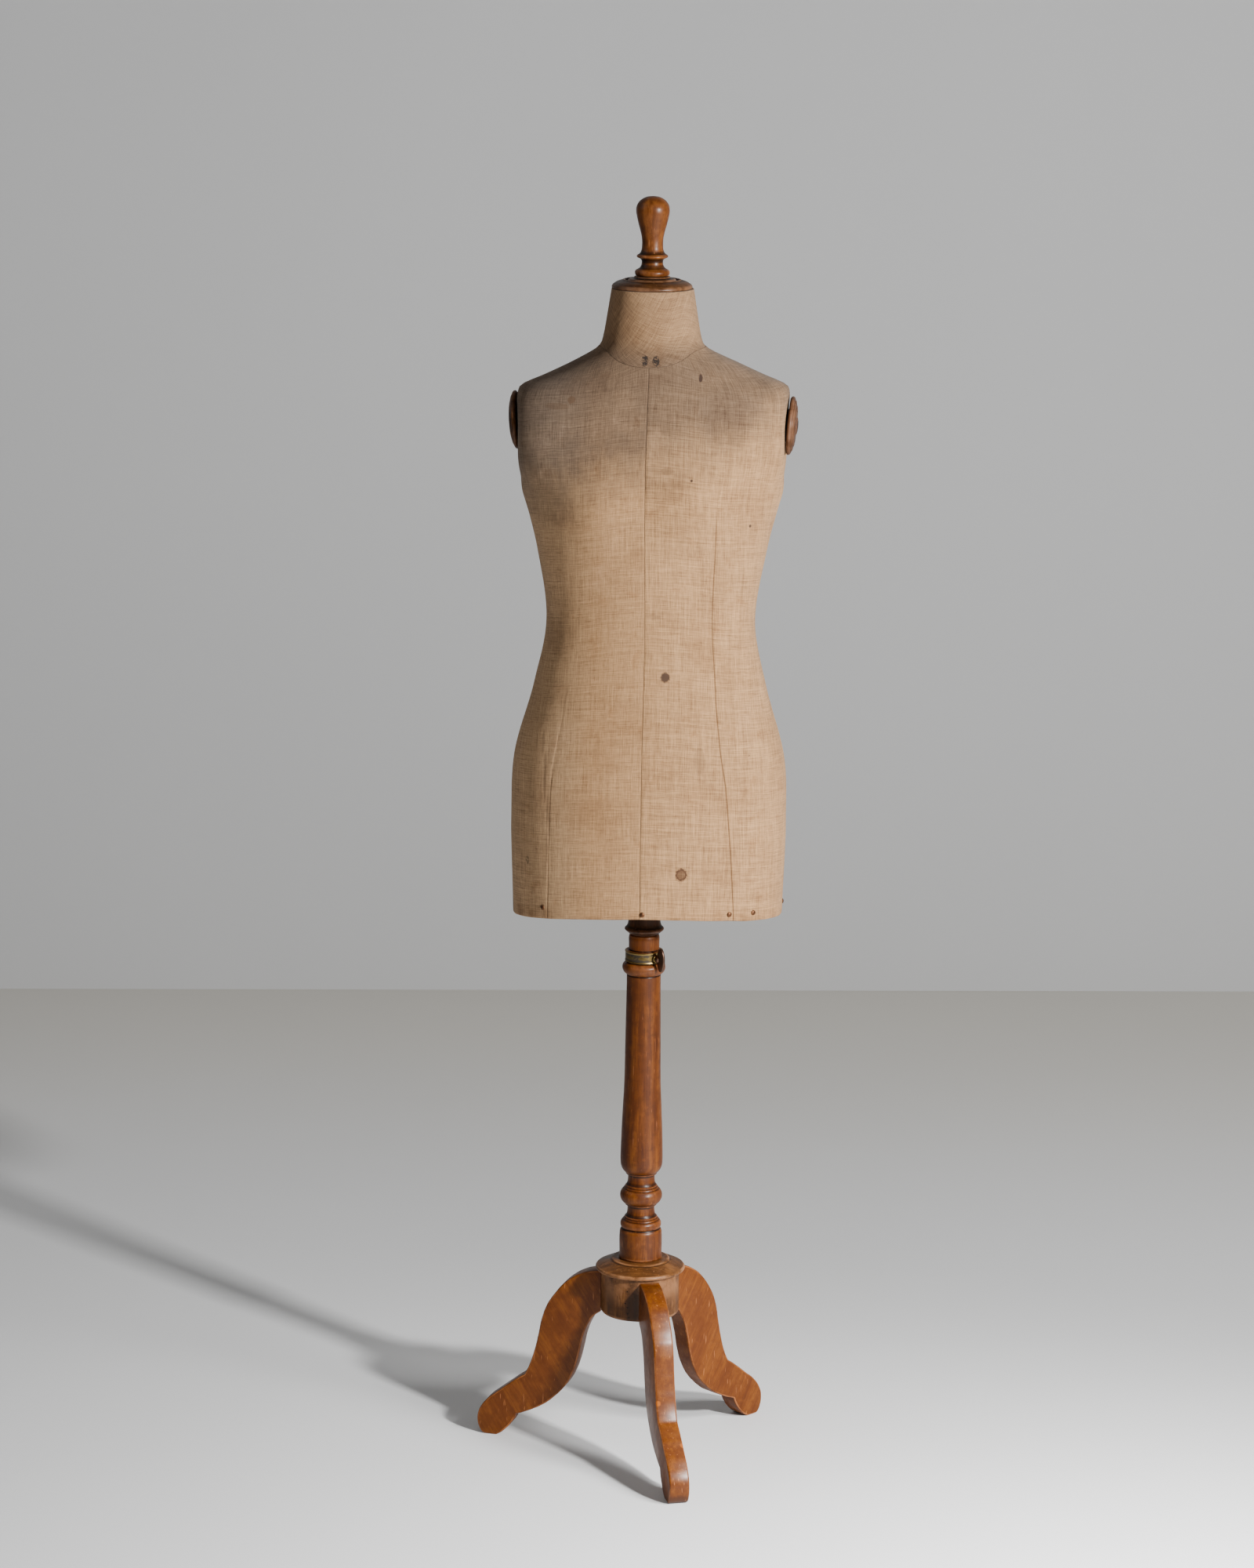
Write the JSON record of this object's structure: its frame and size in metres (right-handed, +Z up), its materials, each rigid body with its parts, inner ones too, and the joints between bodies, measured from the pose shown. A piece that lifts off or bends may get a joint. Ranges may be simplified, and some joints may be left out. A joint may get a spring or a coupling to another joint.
{
  "type": "dress form mannequin",
  "caption": "Linen-covered tailor's torso with turned wooden neck cap, finial and arm caps, sliding and swivelling on a turned column with curved tripod legs.",
  "frame": {"origin": "on the floor, in the middle of the object's outline seen from above; the column's axis stands at x = 16 mm, y = 18 mm", "axes": "+Z up along the column, -Y out of the torso's front, +X to the right of someone who faces its front"},
  "size_m": [0.3931, 0.3754, 1.6],
  "materials": {
    "stand_wood": "reddish-brown varnished beech, worn",
    "turned_wood": "mid-brown varnished turning, worn",
    "dark_wood": "dark stained and varnished",
    "plain_wood": "bare pine",
    "linen": "aged natural linen, irregular plain weave",
    "papier_mache": "layered glued paper, matt",
    "brass": "aged brass, patinated",
    "bronzed_iron": "dark bronzed cast iron, worn edges",
    "tack_iron": "rusted iron",
    "steel": "plain steel rod"
  },
  "bodies": {
    "stand": {"leg_front": "stand_wood", "leg_left": "stand_wood", "leg_right": "stand_wood", "hub_drum": "stand_wood", "hub_flange": "stand_wood", "column": "stand_wood", "clamp_band": "brass"},
    "clamp_pad": {"clamp_pad": "brass"},
    "thumb_screw": {"thumb_screw": "bronzed_iron"},
    "pole": {"inner_pole": "plain_wood", "pole_collar": "dark_wood"},
    "torso": {"bottom_board": "plain_wood", "pole_socket": "plain_wood", "neck_block": "plain_wood", "arm_block_left": "plain_wood", "arm_cap_left": "turned_wood", "arm_button_left": "dark_wood", "arm_block_right": "plain_wood", "arm_cap_right": "turned_wood", "arm_button_right": "dark_wood", "torso_shell_front": "papier_mache", "torso_shell_back": "papier_mache", "cover_front_left": "linen", "cover_front_right": "linen", "cover_back_right": "linen", "cover_back_left": "linen", "neck_band_front": "linen", "neck_band_back": "linen", "hem_tack_1": "tack_iron", "hem_tack_2": "tack_iron", "hem_tack_3": "tack_iron", "hem_tack_4": "tack_iron", "hem_tack_5": "tack_iron", "hem_tack_6": "tack_iron", "hem_tack_7": "tack_iron", "hem_tack_8": "tack_iron", "hem_tack_9": "tack_iron", "neck_cap": "turned_wood", "finial": "turned_wood", "finial_stud": "steel"}
  },
  "joints": [
    {"name": "pole_slide", "type": "slide", "parent": "stand", "child": "pole", "axis": [0, 0, 1], "range_m": [0, 0.22]},
    {"name": "torso_swivel", "type": "hinge", "parent": "pole", "child": "torso", "pos_m": [0.016, 0.018, 0.722], "axis": [0, 0, 1], "continuous": true},
    {"name": "clamp_pad_slide", "type": "slide", "parent": "stand", "child": "clamp_pad", "axis": [0.6626, -0.749, 0], "range_m": [0, 0.0015]},
    {"name": "thumb_screw_turn", "type": "hinge", "parent": "clamp_pad", "child": "thumb_screw", "pos_m": [0.016, 0.018, 0.6516], "axis": [0.6626, -0.749, 0], "range_deg": [0, 540]}
  ],
  "couplings": [
    {"joint": "thumb_screw_turn", "follows": "clamp_pad_slide", "rad_per_m": 6283}
  ]
}
